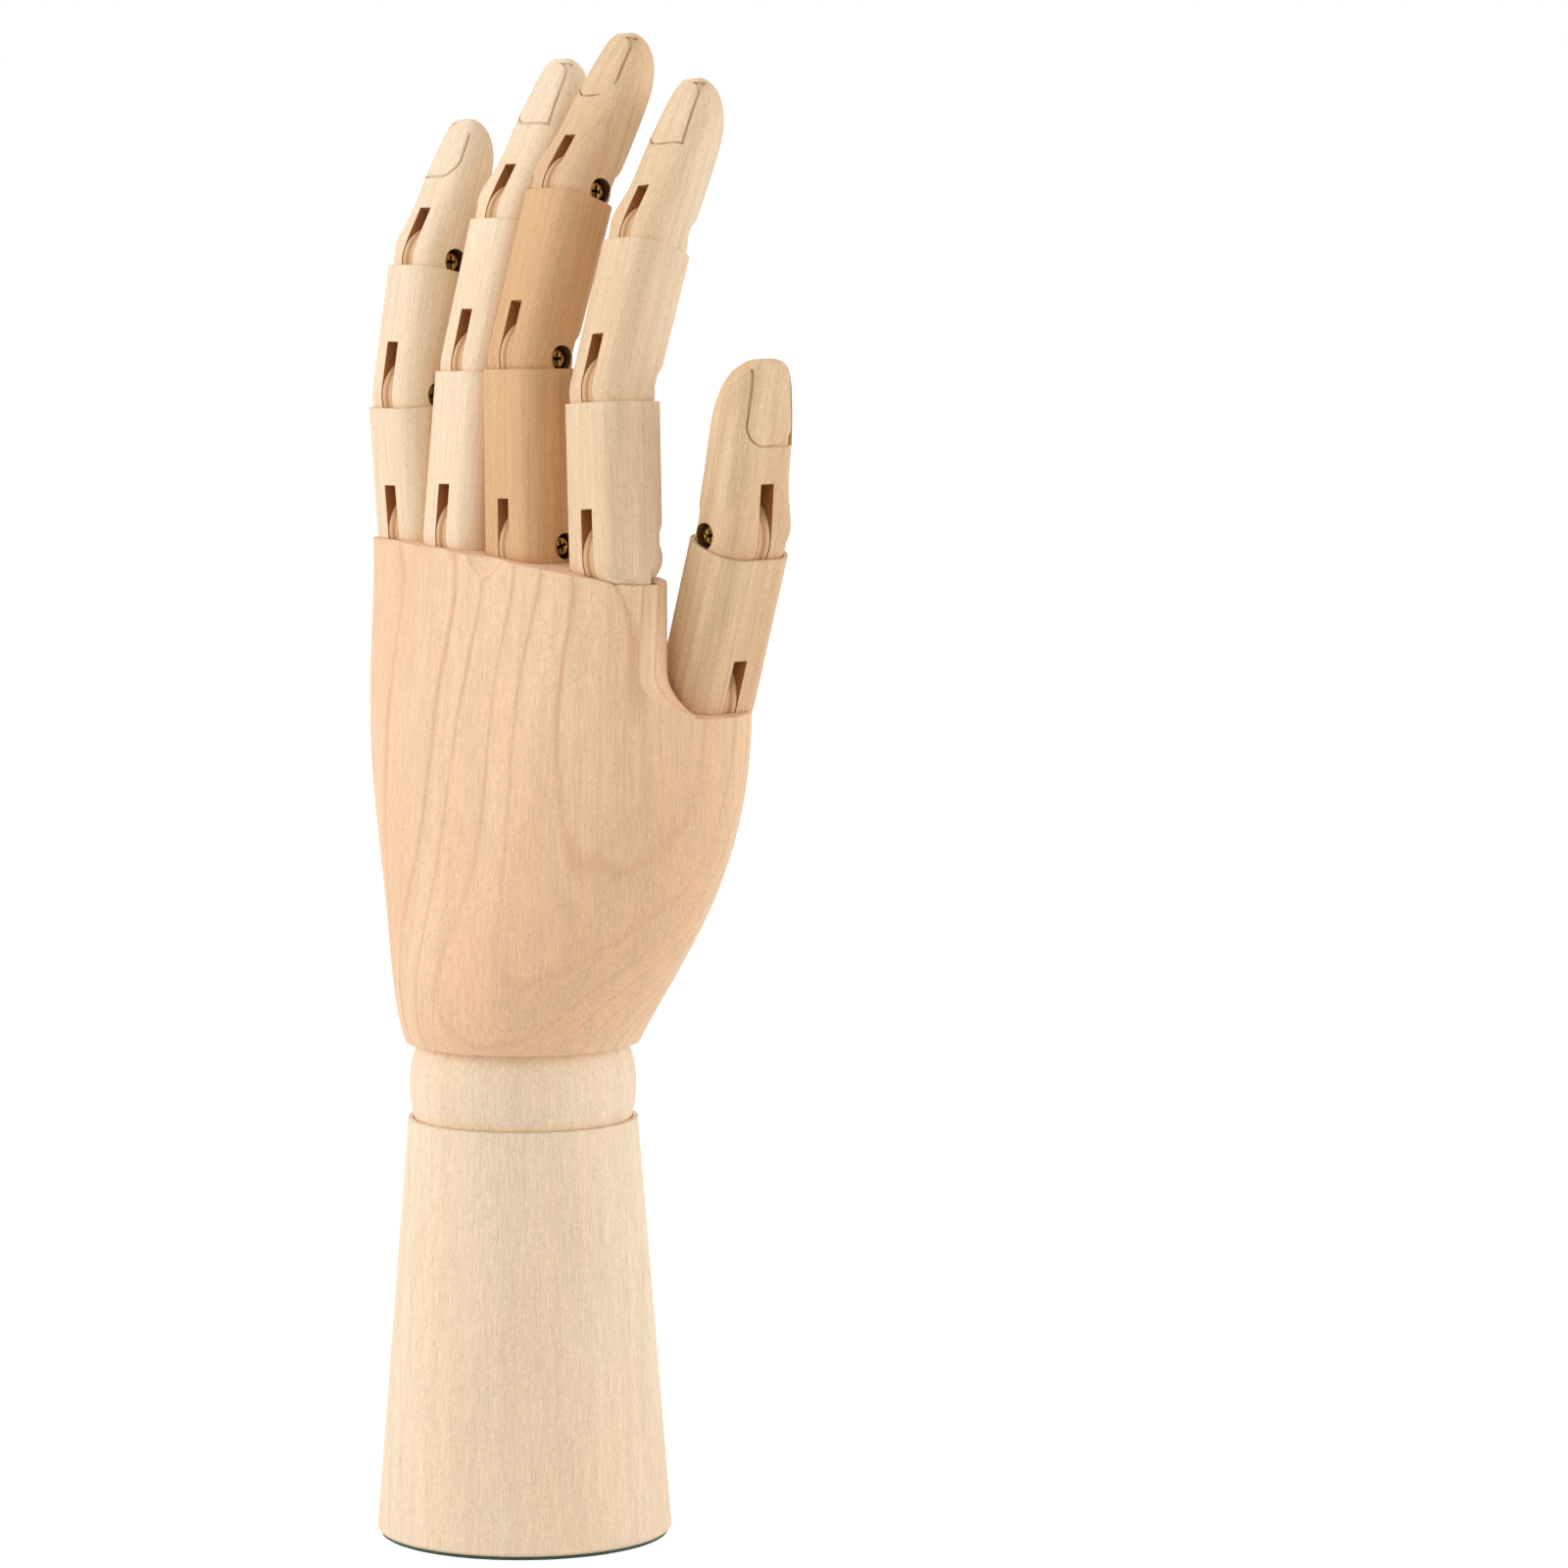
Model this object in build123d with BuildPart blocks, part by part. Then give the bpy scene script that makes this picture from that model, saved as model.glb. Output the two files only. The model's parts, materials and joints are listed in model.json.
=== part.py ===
from build123d import *
from math import cos, radians, sin, tan
import os

# A life-size jointed hand of turned and carved wood: a left hand that stands on its forearm.
# Millimetres. Z is up, the back of the hand faces -Y, the palm faces +Y and the thumb is at +X.
# The origin is the middle of the felt's underside.
#
# Every hinge has a frame of its own: X along the hinge pin, Y towards the palm side of the finger
# and Z along the finger, towards its tip. Finger pieces are modelled about the hinge at their foot.

# Forearm and wrist
felt_thickness = 0.8
felt_radius = 29.4
forearm_foot_radius = 30.1
forearm_top_radius = 23.4
forearm_height = 85.8
foot_edge_chamfer = 0.5
rim_edge_radius = 0.3
ball_radius = 23.1
ball_height = 92.4
socket_clearance = 0.25
wrist_bore_radius = 6.5
ball_mouth_radius = 9.0
ball_mouth_depth = 5.0
anchor_recess_radius = 12.0
anchor_recess_depth = 12.0

# Spring that holds the wrist together, and the two cross pins that it hooks on
pin_radius = 1.5
pin_play = 0.05
forearm_pin_length = 21.0
palm_pin_height = 132.0
palm_pin_length = 38.0
palm_pin_front = 23.0
palm_bore_top = 138.0
coil_outer_radius = 4.2
coil_inner_radius = 2.8
hook_wire_radius = 0.7
hook_radius = 3.3
hook_play = 0.05

# Palm block
palm_foot_height = 101.4
palm_foot_radius = 23.9
palm_height = 101.6
palm_width = 80.0
palm_depth = 48.0
palm_top_little = 201.9
palm_top_middle = 200.4
palm_top_thumb = 195.6

# Hinge parts that every finger joint shares
tongue_thickness = 3.0
slot_side_play = 0.15
finger_slot_reaches = (9.6, 9.6, 9.6)
thumb_slot_reaches = (10.4, 12.2)
cup_clearance = 0.2
cup_wall = 0.65
cup_drop = 2.0
cup_back_angle = 14.0
notch_angle = 60.0
notch_rise = 3.9
notch_inset = 0.1
notch_overlap_angle = 8.0
raised_front_inset = 0.05
tongue_play = 0.1
tongue_palm_inset = 0.3
stem_width = 8.0
stem_offset = 1.0
stem_depth = 5.0
screw_shank_radius = 1.25
screw_hole_play = 0.07
screw_head_radius = 2.35
screw_head_height = 1.6
screw_head_round = 0.5
screw_head_play = 0.25
screw_sink = 1.3
screw_end_wall = 2.5
screw_end_play = 0.3
tip_edge_radius = 0.7

# Sections of a full-size finger at its three hinges: half width, depth behind the pin,
# depth in front of it, and the radius of the long edges
knuckle_section = (8.75, 8.95, 5.6, 4.6)
centre_section = (8.1, 8.25, 5.15, 4.3)
tip_section = (7.6, 7.7, 4.85, 4.1)

# Fingers: how big each is beside the index finger, where its knuckle pin is, how far it leans
# to the side, how far each hinge is bent as the hand stands, and the three segment lengths
finger_names = ("index", "middle", "ring", "little")
finger_size_share = {"index": 1.0, "middle": 1.0, "ring": 0.97, "little": 0.92}
knuckle_places = {
    "index": (29.6, 2.0, 201.2),
    "middle": (6.9, -1.1, 202.4),
    "ring": (-12.1, -2.4, 203.5),
    "little": (-30.0, -0.9, 203.8),
}
finger_leans = {"index": -5.6, "middle": -3.0, "ring": -2.5, "little": -2.0}
finger_bends = {
    "index": (3.0, 18.5, 5.0),
    "middle": (2.0, 18.0, 9.0),
    "ring": (8.0, 10.0, 7.5),
    "little": (-3.0, 15.0, 10.0),
}
segment_lengths = {
    "index": (32.8, 31.8, 35.5),
    "middle": (37.5, 35.2, 35.2),
    "ring": (34.5, 30.7, 35.2),
    "little": (27.4, 27.5, 30.6),
}
screw_sides = {"index": (-1, -1, -1), "middle": (1, 1, 1), "ring": (1, 1, 1), "little": (1, 1, 1)}

# Thumb: its hinge pins run front to back, so it closes across the palm
thumb_root = (34.4, 18.4, 173.8)
thumb_lean = 11.0
thumb_bends = (-7.5, 6.0)
thumb_lengths = (34.0, 36.5)
thumb_size_share = 1.04
thumb_screw_sides = (1, -1)

# Room that is carved out of the palm block beside the thumb and above its ledge
ledge_front = 8.1
ledge_inner = 25.0
ledge_ramp_angle = 42.0
web_side = 39.3
web_corner_radius = 5.0
web_root_radius = 9.0
web_lift = 1.0
knuckle_arc_overrun = 10.0
cut_overrun = 40.0

# Carved bevels on the back edge of the palm, one behind each of three fingers
bevel_fingers = ("middle", "ring", "little")
bevel_radius = 13.0
bevel_slope = 24.0
bevel_wall = 0.5
bevel_reach = 36.0

# Nail: a groove cut round its foot and sides, which draw together towards the tip
nail_length_share = 0.465
nail_end_share = 0.95
nail_width_share = 0.77
nail_side_angle = 84.0
nail_corner_radius = 4.2
nail_groove_width = 0.5
nail_groove_depth = 0.4

# Fingertip: how the section changes towards the end. Each row has its share of the length, and
# its shares of the half width, of the depth behind the pin and of the depth in front of it.
fingertip_shares = (
    (0.0, 1.0, 1.0, 1.0),
    (0.25, 0.985, 0.87, 1.06),
    (0.5, 0.96, 0.74, 1.12),
    (0.72, 0.915, 0.63, 1.1),
    (0.86, 0.82, 0.55, 0.82),
    (0.95, 0.62, 0.47, 0.34),
    (0.99, 0.37, 0.39, -0.04),
)
fingertip_corner_share = 0.9

# Palm outlines above the wrist. Each has its height as a share of palm_height and its points as
# shares of palm_width across and palm_depth front to back, from the little-finger side round the
# back of the hand, the thumb side and the front.
palm_outline_shares = (
    (0.12, ((-0.342, 0.00), (-0.306, -0.25), (-0.219, -0.41), (-0.075, -0.50), (0.087, -0.50),
            (0.231, -0.40), (0.338, -0.20), (0.387, 0.04), (0.362, 0.27), (0.275, 0.43),
            (0.094, 0.51), (-0.100, 0.49), (-0.275, 0.33))),
    (0.35, ((-0.430, 0.00), (-0.395, -0.23), (-0.287, -0.36), (-0.119, -0.43), (0.087, -0.43),
            (0.287, -0.34), (0.438, -0.12), (0.521, 0.13), (0.508, 0.37), (0.400, 0.53),
            (0.150, 0.51), (-0.120, 0.42), (-0.362, 0.27))),
    (0.55, ((-0.475, -0.01), (-0.446, -0.22), (-0.330, -0.32), (-0.140, -0.38), (0.087, -0.38),
            (0.315, -0.29), (0.476, -0.08), (0.558, 0.18), (0.546, 0.45), (0.432, 0.60),
            (0.170, 0.43), (-0.135, 0.31), (-0.400, 0.23))),
    (0.72, ((-0.490, -0.02), (-0.466, -0.20), (-0.345, -0.285), (-0.150, -0.34), (0.087, -0.34),
            (0.330, -0.25), (0.484, -0.06), (0.562, 0.19), (0.548, 0.47), (0.432, 0.60),
            (0.190, 0.36), (-0.140, 0.24), (-0.412, 0.18))),
    (1.00, ((-0.494, -0.03), (-0.469, -0.18), (-0.360, -0.24), (-0.150, -0.29), (0.087, -0.275),
            (0.337, -0.215), (0.477, -0.14), (0.502, 0.01), (0.482, 0.15), (0.400, 0.20),
            (0.087, 0.17), (-0.170, 0.13), (-0.450, 0.11))),
)

parts_folder = "parts"


def finish(piece, name):
    """Gives a finished piece its name and writes it."""
    piece.part.label = name
    export_step(piece.part, f"{parts_folder}/{name}.step")


def scaled(section, share):
    """A finger section at another size."""
    return tuple(size * share for size in section)


def grown(section, margin):
    """A finger section with a margin all round."""
    return tuple(size + margin for size in section)


def outline(plane, section):
    """The closed outline of a finger section, its hinge pin on the plane's X axis."""
    half_width, behind, front, corner = section
    with BuildSketch(plane) as drawn:
        with Locations((0, (front - behind) / 2)):
            RectangleRounded(2 * half_width, behind + front, corner)
    return drawn.sketch


def half_outline(plane, section, side):
    """The half of a finger section that lies in front of its pin (1) or behind it (-1)."""
    reach = sum(section)
    with BuildSketch(plane) as drawn:
        add(outline(Plane.XY, section))
        with Locations((0, side * reach / 2)):
            Rectangle(2 * reach, reach, mode=Mode.INTERSECT)
    return drawn.sketch


def turned_end(section, back_angle, front_angle):
    """The rounded foot of a finger piece, turned about its hinge pin.

    The back half of the section sweeps down under the pin and on by back_angle. The front half
    sweeps from straight down up to front_angle above the pin.
    """
    quarter = 90
    with BuildPart() as end:
        revolve(half_outline(Plane.XY, section, -1), axis=Axis.X, revolution_arc=quarter + back_angle)
        downward = Plane(origin=(0, 0, 0), x_dir=(1, 0, 0), z_dir=(0, 1, 0))
        revolve(half_outline(downward, section, 1), axis=Axis.X, revolution_arc=quarter + front_angle)
    return end.part


def raised_front(section):
    """The round front of a foot above its pin, a touch inside the section all round."""
    quarter = 90
    with BuildPart() as front:
        downward = Plane(origin=(0, 0, 0), x_dir=(1, 0, 0), z_dir=(0, 1, 0))
        revolve(half_outline(downward, grown(section, -raised_front_inset), 1), axis=Axis.X,
                revolution_arc=quarter + notch_angle + notch_overlap_angle)
    return front.part


def socket_cut(section):
    """What a cup is hollowed by: room for a finger's foot, and the slot for the tongue's stem."""
    half_width, behind, front, corner = section
    with BuildPart() as cut:
        add(turned_end(grown(section, cup_clearance), cup_back_angle, 0))
        depth = behind + cup_clearance + stem_depth
        with Locations((0, -stem_offset, 0)):
            Box(tongue_thickness, stem_width, depth, align=(Align.CENTER, Align.CENTER, Align.MAX))
    return cut.part


def tongue(section):
    """The flat blade that stands in a cup and carries the next piece on its pin."""
    half_width, behind, front, corner = section
    disc_radius = behind - tongue_play
    hub_radius = front - tongue_palm_inset
    depth = behind + cup_clearance + stem_depth
    reach = 2 * disc_radius
    with BuildPart() as blade:
        with BuildSketch(Plane.YZ):
            Circle(disc_radius)
            with Locations((hub_radius, 0)):
                Rectangle(reach, reach, align=(Align.MIN, Align.CENTER), mode=Mode.SUBTRACT)
            Rectangle(reach, reach, align=(Align.MIN, Align.MAX), mode=Mode.SUBTRACT)
            Circle(hub_radius)
            with Locations((-stem_offset, 0)):
                Rectangle(stem_width, depth, align=(Align.CENTER, Align.MAX))
        extrude(amount=tongue_thickness / 2, both=True)
        with Locations(Location((0, 0, 0), (0, 90, 0))):
            Hole(screw_shank_radius + screw_hole_play)
    return blade


def screw(section, side):
    """The pan-head screw that is the hinge pin, its head towards the given side."""
    half_width = section[0]
    seat = half_width - screw_sink - screw_head_height
    end = -(half_width - screw_end_wall)
    with BuildPart() as pin:
        with BuildSketch(Plane.YZ.offset(side * seat)):
            Circle(screw_head_radius)
        extrude(amount=side * screw_head_height)
        top = pin.faces().filter_by(Axis.X).sort_by(Axis.X)[-1 if side > 0 else 0]
        fillet(top.edges(), radius=screw_head_round)
        with BuildSketch(Plane.YZ.offset(side * end)):
            Circle(screw_shank_radius)
        extrude(amount=side * (seat - end))
    return pin


def fitted_foot(section, side, slot_reach):
    """What is cut from a finger piece at its foot: the slot for the tongue and the screw's hole."""
    half_width, behind, front, corner = section
    seat = half_width - screw_sink - screw_head_height
    end = -(half_width - screw_end_wall + screw_end_play)
    with BuildPart() as cut:
        slot_width = tongue_thickness + 2 * slot_side_play
        with Locations((0, 0, slot_reach)):
            Box(slot_width, 2 * sum(section), slot_reach + 2 * behind,
                align=(Align.CENTER, Align.CENTER, Align.MAX))
        with BuildSketch(Plane.YZ.offset(side * seat)):
            Circle(screw_head_radius + screw_head_play)
        extrude(amount=side * half_width)
        with BuildSketch(Plane.YZ.offset(side * end)):
            Circle(screw_shank_radius + screw_hole_play / 2)
        extrude(amount=side * (half_width - end))
    return cut.part


def palm_side_notch(section):
    """The wedge taken out above the foot, so that the piece can fold over the cup's front rim."""
    half_width, behind, front, corner = section
    vertex_radius = front - notch_inset
    vertex = (vertex_radius * cos(radians(notch_angle)), vertex_radius * sin(radians(notch_angle)))
    slope_top = (front, vertex[1] + notch_rise)
    beyond = (2 * slope_top[0] - vertex[0], 2 * slope_top[1] - vertex[1])
    with BuildPart() as wedge:
        with BuildSketch(Plane.YZ):
            with BuildLine():
                Polyline((vertex[0], 0), vertex, beyond, (beyond[0], 0), close=True)
            make_face()
        extrude(amount=2 * half_width, both=True)
    return wedge.part


def footed(body, section, side, slot_reach):
    """Adds the turned foot, notch, slot and screw hole to a finger piece's body."""
    with BuildPart() as piece:
        add(body)
        add(palm_side_notch(section), mode=Mode.SUBTRACT)
        add(turned_end(section, 0, 0))
        add(raised_front(section))
        add(fitted_foot(section, side, slot_reach), mode=Mode.SUBTRACT)
    return piece.part


def segment(section, next_section, length, side, slot_reach):
    """A finger piece with a foot at one end and a cup for the next piece at the other."""
    rim = grown(next_section, cup_clearance + cup_wall)
    with BuildPart() as barrel:
        loft([outline(Plane.XY, section), outline(Plane.XY.offset(length - cup_drop), rim)])
    with BuildPart() as piece:
        add(footed(barrel.part, section, side, slot_reach))
        with Locations((0, 0, length)):
            add(socket_cut(next_section), mode=Mode.SUBTRACT)
    return piece


def fingertip_rings(section, length, inset):
    """The sections of a fingertip from its foot to its end, drawn in by an inset all round."""
    half_width, behind, front, corner = section
    rings = []
    for length_share, width_share, behind_share, front_share in fingertip_shares:
        ring_width = half_width * width_share - inset
        back_face = -behind * behind_share + inset
        front_face = front * front_share - inset
        half_depth = (front_face - back_face) / 2
        ring_corner = min(corner, fingertip_corner_share * min(half_depth, ring_width))
        with BuildSketch(Plane.XY.offset((length - inset) * length_share)) as ring:
            with Locations((0, (front_face + back_face) / 2)):
                RectangleRounded(2 * ring_width, 2 * half_depth, ring_corner)
        rings.append(ring.sketch)
    return rings


def nail_outline(section, length, margin):
    """The nail's outline on the back of a fingertip, drawn in by a margin all round."""
    foot = length * (1 - nail_length_share) + margin
    half_width = section[0] * nail_width_share - margin
    with BuildSketch(Plane.XZ) as nail:
        with Locations((0, foot)):
            Trapezoid(2 * half_width, length * nail_end_share - foot, nail_side_angle,
                      align=(Align.CENTER, Align.MIN))
        fillet(nail.vertices().sort_by(Axis.Z)[:2], radius=nail_corner_radius - margin)
    return nail.sketch


def nail_groove(section, length):
    """The thin groove round the foot and sides of the nail."""
    with BuildPart() as core:
        loft(fingertip_rings(section, length, nail_groove_depth))
    with BuildPart() as groove:
        with BuildSketch(Plane.XZ):
            add(nail_outline(section, length, 0))
            add(nail_outline(section, length, nail_groove_width), mode=Mode.SUBTRACT)
        extrude(amount=2 * section[1])
        add(core.part, mode=Mode.SUBTRACT)
    return groove.part


def fingertip(section, length, side, slot_reach):
    """The last piece of a finger, drawn in to a round end, with its nail outlined."""
    with BuildPart() as finger_end:
        loft(fingertip_rings(section, length, 0))
        fillet(finger_end.faces().sort_by(Axis.Z)[-1].edges(), radius=tip_edge_radius)
        add(nail_groove(section, length), mode=Mode.SUBTRACT)
    with BuildPart() as piece:
        add(footed(finger_end.part, section, side, slot_reach))
    return piece


def placed(source, frame):
    """A piece that was modelled about its hinge, set where that hinge is."""
    with BuildPart() as piece:
        with Locations(frame):
            add(source)
    return piece


def bent(frame, angle):
    """A hinge's frame, bent towards the palm."""
    return Plane(frame.location * Location((0, 0, 0), (-angle, 0, 0)))


def upright_frame(place, lean):
    """The frame of a finger's knuckle cup, leaning towards the thumb side by the angle given."""
    slope = radians(lean)
    return Plane(origin=place, x_dir=(cos(slope), 0, -sin(slope)), z_dir=(sin(slope), 0, cos(slope)))


def thumb_frame():
    """The frame of the thumb's cup, whose pin runs front to back."""
    slope = radians(thumb_lean)
    return Plane(origin=thumb_root, x_dir=(0, 1, 0), z_dir=(sin(slope), 0, cos(slope)))


def build_digit(name, root, size_share, sections, lengths, bends, sides, slot_reaches):
    """Builds one finger or the thumb, piece by piece from its cup in the palm to its tip."""
    hinge_names = ("knuckle", "centre_joint", "tip_joint") if len(lengths) == 3 else (
        "knuckle", "tip_joint")
    piece_names = ("base_segment", "centre_segment", "tip_segment") if len(lengths) == 3 else (
        "base_segment", "tip_segment")
    sections = [scaled(section, size_share) for section in sections]
    frame = root
    for step, length in enumerate(lengths):
        section = sections[step]
        hinge_name = f"{name}_{hinge_names[step]}"
        finish(placed(tongue(section), frame), f"{hinge_name}_tongue")
        frame = bent(frame, bends[step])
        finish(placed(screw(section, sides[step]), frame), f"{hinge_name}_screw")
        if step + 1 < len(lengths):
            piece = segment(section, sections[step + 1], length, sides[step], slot_reaches[step])
        else:
            piece = fingertip(section, length, sides[step], slot_reaches[step])
        finish(placed(piece, frame), f"{name}_{piece_names[step]}")
        frame = frame.offset(length)


def bevel_frame(name):
    """The axis of the round cutter that bevels the palm's back edge behind a finger."""
    across, depth, height = knuckle_places[name]
    cup_back = finger_size_share[name] * knuckle_section[1] + cup_clearance + cup_wall + bevel_wall
    slope = radians(bevel_slope)
    centre = (across, depth - cup_back - bevel_radius * cos(slope),
              height - cup_drop + bevel_radius * sin(slope))
    return Plane(origin=centre, x_dir=(1, 0, 0), z_dir=(0, sin(slope), cos(slope)))


os.makedirs(parts_folder, exist_ok=True)

# Felt under the forearm
with BuildPart() as felt_pad:
    Cylinder(felt_radius, felt_thickness, align=(Align.CENTER, Align.CENTER, Align.MIN))
finish(felt_pad, "felt_pad")

# Forearm: a turned cone with a ball socket on top, a bore for the spring and a recess for its pin
recess_top = felt_thickness + anchor_recess_depth
with BuildPart() as forearm:
    with BuildSketch(Plane.XZ):
        with BuildLine():
            Polyline(
                (0, felt_thickness),
                (forearm_foot_radius - foot_edge_chamfer, felt_thickness),
                (forearm_foot_radius, felt_thickness + foot_edge_chamfer),
                (forearm_top_radius, forearm_height),
                (0, forearm_height),
                close=True,
            )
        make_face()
    revolve(axis=Axis.Z)
    with Locations((0, 0, ball_height)):
        Sphere(ball_radius + socket_clearance, mode=Mode.SUBTRACT)
    with Locations((0, 0, forearm_height)):
        Hole(wrist_bore_radius)
    with BuildSketch(Plane.XY.offset(felt_thickness)):
        Circle(anchor_recess_radius)
    extrude(amount=anchor_recess_depth, mode=Mode.SUBTRACT)
    with BuildSketch(Plane.XZ):
        with Locations((0, recess_top)):
            Circle(pin_radius + pin_play)
    extrude(amount=forearm_pin_length / 2 + pin_play, both=True, mode=Mode.SUBTRACT)
finish(forearm, "forearm")

# Pin across the forearm's recess, half sunk in its roof
with BuildPart() as forearm_pin:
    with BuildSketch(Plane.XZ):
        with Locations((0, recess_top)):
            Circle(pin_radius)
    extrude(amount=forearm_pin_length / 2, both=True)
finish(forearm_pin, "forearm_spring_pin")

# Wrist ball, bored through, with flared mouths that leave the spring room to bend
with BuildPart() as wrist_ball:
    with Locations((0, 0, ball_height)):
        Sphere(ball_radius)
    with BuildSketch(Plane.XZ):
        with BuildLine():
            mouth_base = ball_radius - ball_mouth_depth
            Polyline(
                (0, ball_height - ball_radius),
                (ball_mouth_radius, ball_height - ball_radius),
                (wrist_bore_radius, ball_height - mouth_base),
                (wrist_bore_radius, ball_height + mouth_base),
                (ball_mouth_radius, ball_height + ball_radius),
                (0, ball_height + ball_radius),
                close=True,
            )
        make_face()
    revolve(axis=Axis.Z, mode=Mode.SUBTRACT)
finish(wrist_ball, "wrist_ball")

# Spring: a close-wound body with a round hook at each end
lower_hook = recess_top - pin_radius - hook_play + hook_radius - hook_wire_radius
upper_hook = palm_pin_height + pin_radius + hook_play - hook_radius + hook_wire_radius
coil_foot = lower_hook + hook_radius - hook_wire_radius
coil_top = upper_hook - hook_radius + hook_wire_radius
with BuildPart() as spring:
    with BuildSketch(Plane.XY.offset(coil_foot)):
        Circle(coil_outer_radius)
        Circle(coil_inner_radius, mode=Mode.SUBTRACT)
    extrude(amount=coil_top - coil_foot)
    with Locations(Location((0, 0, lower_hook), (90, 0, 0)), Location((0, 0, upper_hook), (90, 0, 0))):
        Torus(hook_radius, hook_wire_radius)
finish(spring, "wrist_spring")

# Palm block, from the round wrist to the broad row of knuckles
knuckle_frames = {
    name: upright_frame(knuckle_places[name], finger_leans[name]) for name in finger_names
}
knuckle_sections = {
    name: scaled(knuckle_section, finger_size_share[name]) for name in finger_names
}
thumb_section = scaled(knuckle_section, thumb_size_share)
ledge_tilt = tan(radians(thumb_lean))
ledge_height = thumb_root[2] - cup_drop / cos(radians(thumb_lean))

# Room above the thumb's ledge, in front of the row of knuckles
with BuildPart() as thumb_room:
    with BuildSketch(Plane.XZ.offset(-ledge_front)):
        with BuildLine():
            reach = thumb_root[0] + cut_overrun
            ramp_drop = palm_width * sin(radians(ledge_ramp_angle))
            ramp_run = palm_width * cos(radians(ledge_ramp_angle))
            inner_height = ledge_height + (thumb_root[0] - ledge_inner) * ledge_tilt
            Polyline(
                (reach, ledge_height - cut_overrun * ledge_tilt),
                (ledge_inner, inner_height),
                (ledge_inner - ramp_run, inner_height - ramp_drop),
                (ledge_inner - ramp_run, palm_foot_height + palm_height + cut_overrun),
                (reach, palm_foot_height + palm_height + cut_overrun),
                close=True,
            )
        make_face()
    extrude(amount=-palm_depth)

# Room beside the index finger, with a round root where the side of the palm meets the ledge
with BuildPart() as web_room:
    corner_place = (web_side - web_corner_radius, ledge_front - web_corner_radius)
    web_foot = ledge_height - (web_side - thumb_root[0]) * ledge_tilt + web_lift
    with BuildSketch(Plane.XZ.offset(-corner_place[1])) as web_profile:
        with BuildLine():
            Polyline(
                (web_side, web_foot),
                (web_side + cut_overrun, web_foot - cut_overrun * ledge_tilt),
                (web_side + cut_overrun, palm_foot_height + palm_height + cut_overrun),
                (web_side, palm_foot_height + palm_height + cut_overrun),
                close=True,
            )
        make_face()
        fillet(web_profile.vertices().sort_by_distance((web_side, web_foot))[0], web_root_radius)
    extrude(amount=palm_depth)
    corner_axis = Axis((corner_place[0], corner_place[1], 0), (0, 0, 1))
    revolve(web_profile.sketch, axis=corner_axis, revolution_arc=90)
    with Locations((0, ledge_front, ledge_height)):
        Box(2 * (web_side + 2 * cut_overrun), 2 * cut_overrun, 4 * cut_overrun,
            align=(Align.CENTER, Align.MIN, Align.CENTER), mode=Mode.SUBTRACT)

# Everything above the row of knuckles
with BuildPart() as knuckle_room:
    with BuildSketch(Plane.XZ):
        with BuildLine():
            little_edge = (knuckle_places["little"][0] - knuckle_arc_overrun, palm_top_little)
            thumb_edge = (web_side + web_corner_radius, palm_top_thumb)
            ThreePointArc(little_edge, (knuckle_places["middle"][0], palm_top_middle), thumb_edge)
            over = palm_foot_height + palm_height + cut_overrun
            Polyline(
                little_edge,
                (little_edge[0] - cut_overrun, palm_top_little),
                (little_edge[0] - cut_overrun, over),
                (thumb_edge[0] + cut_overrun, over),
                (thumb_edge[0] + cut_overrun, palm_top_thumb - cut_overrun * ledge_tilt),
                thumb_edge,
            )
        make_face()
    extrude(amount=palm_depth, both=True)

# The ball's socket in the palm, the spring's bore above it and the hole for the spring's pin
with BuildPart() as wrist_room:
    with Locations((0, 0, ball_height)):
        Sphere(ball_radius + socket_clearance)
        Cylinder(wrist_bore_radius, palm_bore_top - ball_height,
                 align=(Align.CENTER, Align.CENTER, Align.MIN))
    with BuildSketch(Plane.XZ.offset(palm_pin_length - palm_pin_front)):
        with Locations((0, palm_pin_height)):
            Circle(pin_radius + pin_play)
    extrude(amount=-palm_pin_length - palm_depth)

with BuildPart() as palm:
    outline_sketches = []
    turns = len(palm_outline_shares[0][1])
    foot_points = []
    for step in range(turns):
        turn = radians(180 + step * 360 / turns)
        foot_points.append((palm_foot_radius * cos(turn), palm_foot_radius * sin(turn)))
    with BuildSketch(Plane.XY.offset(palm_foot_height)) as foot_ring:
        with BuildLine():
            Spline(*foot_points, periodic=True)
        make_face()
    outline_sketches.append(foot_ring.sketch)
    for height_share, point_shares in palm_outline_shares:
        with BuildSketch(Plane.XY.offset(palm_foot_height + palm_height * height_share)) as ring:
            with BuildLine():
                Spline(*[(palm_width * x, palm_depth * y) for x, y in point_shares], periodic=True)
            make_face()
        outline_sketches.append(ring.sketch)
    loft(outline_sketches)
    add(wrist_room.part, mode=Mode.SUBTRACT)
    add(thumb_room.part, mode=Mode.SUBTRACT)
    add(web_room.part, mode=Mode.SUBTRACT)
    add(knuckle_room.part, mode=Mode.SUBTRACT)
    for name in bevel_fingers:
        with Locations(bevel_frame(name)):
            Cylinder(bevel_radius, bevel_reach, mode=Mode.SUBTRACT)
    for name in finger_names:
        with Locations(knuckle_frames[name]):
            add(socket_cut(knuckle_sections[name]), mode=Mode.SUBTRACT)
    with Locations(thumb_frame()):
        add(socket_cut(thumb_section), mode=Mode.SUBTRACT)
finish(palm, "palm")

# Pin across the palm's bore, driven in from the front
with BuildPart() as palm_pin:
    with BuildSketch(Plane.XZ.offset(-palm_pin_front)):
        with Locations((0, palm_pin_height)):
            Circle(pin_radius)
    extrude(amount=palm_pin_length)
finish(palm_pin, "palm_spring_pin")

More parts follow.
